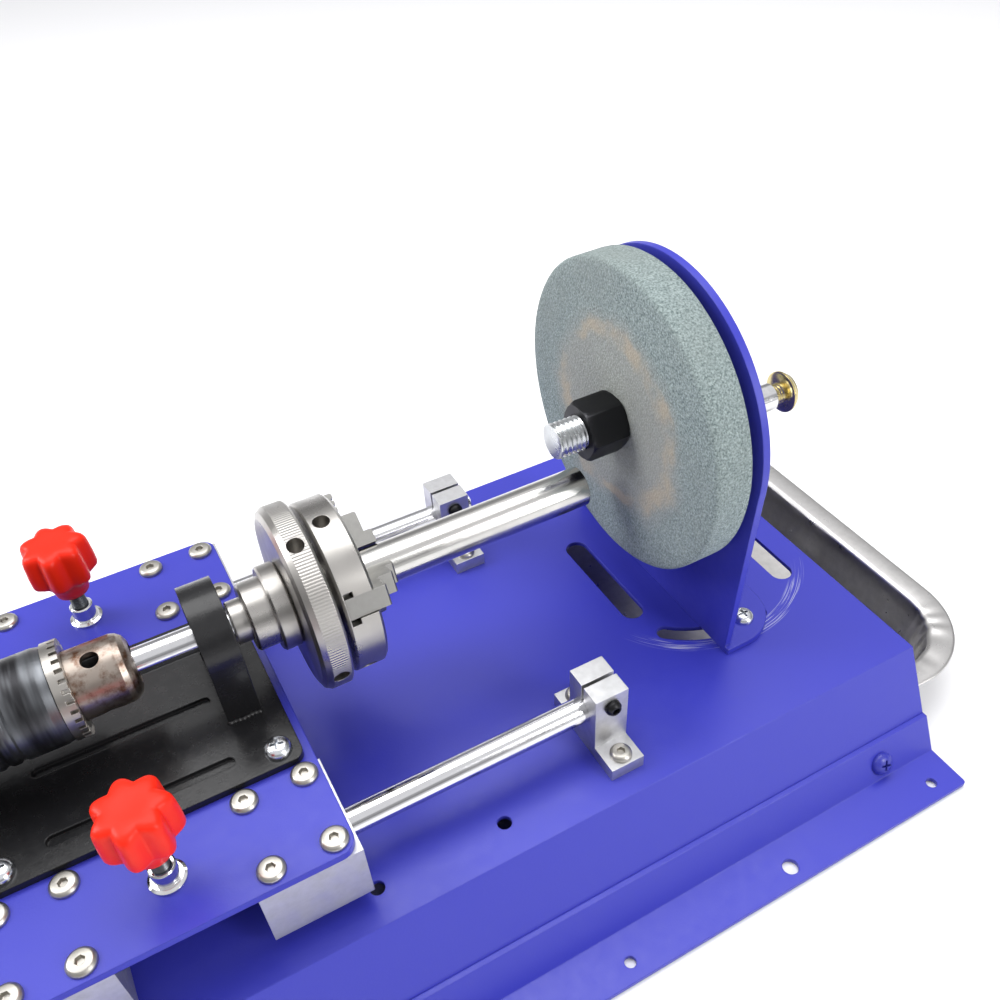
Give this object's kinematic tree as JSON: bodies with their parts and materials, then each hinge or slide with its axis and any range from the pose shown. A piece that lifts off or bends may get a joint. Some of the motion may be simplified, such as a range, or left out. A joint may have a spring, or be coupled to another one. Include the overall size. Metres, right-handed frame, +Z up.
{
  "type": "faceting machine",
  "caption": "Bench grinding machine: a motor-driven chuck on a sliding carriage feeds a rotating tube against a hand-turned face wheel on a swivelling bracket over a drip tray.",
  "frame": {"origin": "centre of the base's mounting-hole pattern, on the bench plane", "axes": "+X along the guide rods from the motor towards the grinding wheel, +Z up, +Y to the rear"},
  "size_m": [0.5255, 0.274, 0.1997],
  "materials": {
    "blue_coat": "fine textured satin powder coat",
    "blue_screw": "gloss",
    "black_coat": "semi-gloss paint",
    "rod_steel": "polished",
    "silver_alloy": "milled satin",
    "black_screw": "black oxide",
    "stainless_screw": "satin",
    "zinc_screw": "bright zinc",
    "tray_steel": "bright drawn stainless",
    "bearing_steel": "ground",
    "motor_steel": "zinc plated",
    "black_plastic": "matt",
    "rotor_iron": "plain",
    "worn_steel": "worn and browned",
    "black_oxide": "black oxide",
    "gear_steel": "satin",
    "chuck_steel": "ground bright",
    "knurled_steel": "ground and straight-knurled",
    "jaw_steel": "ground bright",
    "tube_steel": "polished",
    "chrome_trim": "bright",
    "red_plastic": "gloss",
    "arbor_steel": "bright zinc",
    "green_stone": "coarse bonded abrasive",
    "yellow_zinc": "yellow zinc plate"
  },
  "bodies": {
    "base": {"base_cover": "blue_coat", "front_foot_rail": "blue_coat", "rear_foot_rail": "blue_coat", "rail_screws": "blue_screw", "front_guide_rod": "rod_steel", "rear_guide_rod": "rod_steel", "shaft_support_front_right": "silver_alloy", "shaft_support_front_left": "silver_alloy", "shaft_support_rear_right": "silver_alloy", "shaft_support_rear_left": "silver_alloy", "support_clamp_screws": "black_screw", "support_base_screws": "stainless_screw"},
    "tray": {"drip_tray": "tray_steel"},
    "carriage": {"carriage_plate": "blue_coat", "bearing_block_front_right": "silver_alloy", "bearing_block_rear_right": "silver_alloy", "bearing_block_front_left": "silver_alloy", "bearing_block_rear_left": "silver_alloy", "linear_bushings": "bearing_steel", "block_screws": "stainless_screw", "spindle_bracket_plate": "black_coat", "bearing_arch": "black_coat", "bearing_saddle": "black_coat", "bracket_screws": "zinc_screw", "bearing_outer_ring": "bearing_steel", "motor_can": "motor_steel", "motor_end_cap": "black_plastic", "motor_bracket": "black_coat", "motor_screws": "zinc_screw", "knob_ferrules": "chrome_trim"},
    "ball_set": {"bearing_balls": "bearing_steel"},
    "spindle": {"motor_rotor": "rotor_iron", "drill_chuck_body": "worn_steel", "drive_shaft": "rod_steel", "bearing_inner_ring": "bearing_steel", "lathe_chuck_hub": "chuck_steel", "lathe_chuck_body": "chuck_steel", "work_tube": "tube_steel"},
    "drill_sleeve": {"drill_chuck_sleeve": "black_oxide", "drill_chuck_gear_ring": "gear_steel"},
    "drill_jaw_1": {"drill_chuck_jaw_1": "black_oxide"},
    "drill_jaw_2": {"drill_chuck_jaw_2": "black_oxide"},
    "drill_jaw_3": {"drill_chuck_jaw_3": "black_oxide"},
    "scroll": {"scroll_ring": "knurled_steel"},
    "chuck_jaw_1": {"lathe_jaw_1": "jaw_steel"},
    "chuck_jaw_2": {"lathe_jaw_2": "jaw_steel"},
    "chuck_jaw_3": {"lathe_jaw_3": "jaw_steel"},
    "front_stud": {"front_clamp_stud": "black_oxide"},
    "front_knob": {"front_clamp_knob": "red_plastic"},
    "rear_stud": {"rear_clamp_stud": "black_oxide"},
    "rear_knob": {"rear_clamp_knob": "red_plastic"},
    "bracket": {"wheel_bracket": "blue_coat", "bracket_foot_screws": "zinc_screw", "arbor_bush": "gear_steel"},
    "wheel": {"wheel_arbor": "arbor_steel", "grinding_wheel": "green_stone", "wheel_nut": "black_oxide", "crank_arm": "black_oxide", "crank_bolt": "yellow_zinc"},
    "crank_grip": {"crank_sleeve": "chrome_trim"}
  },
  "joints": [
    {"name": "tray_slide", "type": "slide", "parent": "base", "child": "tray", "axis": [1, 0, 0], "range_m": [-0.055, 0.25]},
    {"name": "carriage_slide", "type": "slide", "parent": "base", "child": "carriage", "axis": [1, 0, 0], "range_m": [-0.076, 0.014]},
    {"name": "spindle_turn", "type": "hinge", "parent": "carriage", "child": "spindle", "pos_m": [-0.0165, 0, 0.1108], "axis": [1, 0, 0], "continuous": true},
    {"name": "ball_set_turn", "type": "hinge", "parent": "carriage", "child": "ball_set", "pos_m": [-0.0165, 0, 0.1108], "axis": [1, 0, 0], "continuous": true},
    {"name": "drill_sleeve_turn", "type": "hinge", "parent": "spindle", "child": "drill_sleeve", "pos_m": [-0.085, 0, 0.1108], "axis": [1, 0, 0], "range_deg": [0, 540]},
    {"name": "scroll_turn", "type": "hinge", "parent": "spindle", "child": "scroll", "pos_m": [0.017, 0, 0.1108], "axis": [1, 0, 0], "range_deg": [0, 720]},
    {"name": "drill_jaw_1_slide", "type": "slide", "parent": "spindle", "child": "drill_jaw_1", "axis": [-0.9659, 0.067, 0.25], "range_m": [0, 0.0027]},
    {"name": "drill_jaw_2_slide", "type": "slide", "parent": "spindle", "child": "drill_jaw_2", "axis": [-0.9659, -0.25, -0.067], "range_m": [0, 0.0027]},
    {"name": "drill_jaw_3_slide", "type": "slide", "parent": "spindle", "child": "drill_jaw_3", "axis": [-0.9659, 0.183, -0.183], "range_m": [0, 0.0027]},
    {"name": "chuck_jaw_1_slide", "type": "slide", "parent": "spindle", "child": "chuck_jaw_1", "axis": [0, 0.8192, 0.5736], "range_m": [0, 0.008]},
    {"name": "chuck_jaw_2_slide", "type": "slide", "parent": "spindle", "child": "chuck_jaw_2", "axis": [0, -0.9063, 0.4226], "range_m": [0, 0.008]},
    {"name": "chuck_jaw_3_slide", "type": "slide", "parent": "spindle", "child": "chuck_jaw_3", "axis": [0, 0.0872, -0.9962], "range_m": [0, 0.008]},
    {"name": "front_stud_lift", "type": "slide", "parent": "carriage", "child": "front_stud", "axis": [0, 0, 1], "range_m": [-0.0002, 0.0048]},
    {"name": "front_knob_turn", "type": "hinge", "parent": "front_stud", "child": "front_knob", "pos_m": [-0.0565, -0.06425, 0.11], "axis": [0, 0, 1], "range_deg": [0, 1440]},
    {"name": "rear_stud_lift", "type": "slide", "parent": "carriage", "child": "rear_stud", "axis": [0, 0, 1], "range_m": [-0.0002, 0.0048]},
    {"name": "rear_knob_turn", "type": "hinge", "parent": "rear_stud", "child": "rear_knob", "pos_m": [-0.0565, 0.06425, 0.11], "axis": [0, 0, 1], "range_deg": [0, 1440]},
    {"name": "bracket_swing", "type": "hinge", "parent": "base", "child": "bracket", "pos_m": [0.1863, 0, 0.045], "axis": [0, 0, 1], "range_deg": [-30, 4]},
    {"name": "wheel_turn", "type": "hinge", "parent": "bracket", "child": "wheel", "pos_m": [0.157, 0, 0.1372], "axis": [1, 0, 0], "continuous": true},
    {"name": "crank_grip_turn", "type": "hinge", "parent": "wheel", "child": "crank_grip", "pos_m": [0.2, -0.01975, 0.1372], "axis": [1, 0, 0], "continuous": true}
  ],
  "couplings": [
    {"joint": "ball_set_turn", "follows": "spindle_turn", "ratio": 0.38},
    {"joint": "drill_jaw_1_slide", "follows": "drill_sleeve_turn", "m_per_rad": 0.00028648},
    {"joint": "drill_jaw_2_slide", "follows": "drill_sleeve_turn", "m_per_rad": 0.00028648},
    {"joint": "drill_jaw_3_slide", "follows": "drill_sleeve_turn", "m_per_rad": 0.00028648},
    {"joint": "chuck_jaw_1_slide", "follows": "scroll_turn", "m_per_rad": 0.0006366},
    {"joint": "chuck_jaw_2_slide", "follows": "scroll_turn", "m_per_rad": 0.0006366},
    {"joint": "chuck_jaw_3_slide", "follows": "scroll_turn", "m_per_rad": 0.0006366},
    {"joint": "front_stud_lift", "follows": "front_knob_turn", "m_per_rad": 0.00015915},
    {"joint": "rear_stud_lift", "follows": "rear_knob_turn", "m_per_rad": 0.00015915}
  ]
}
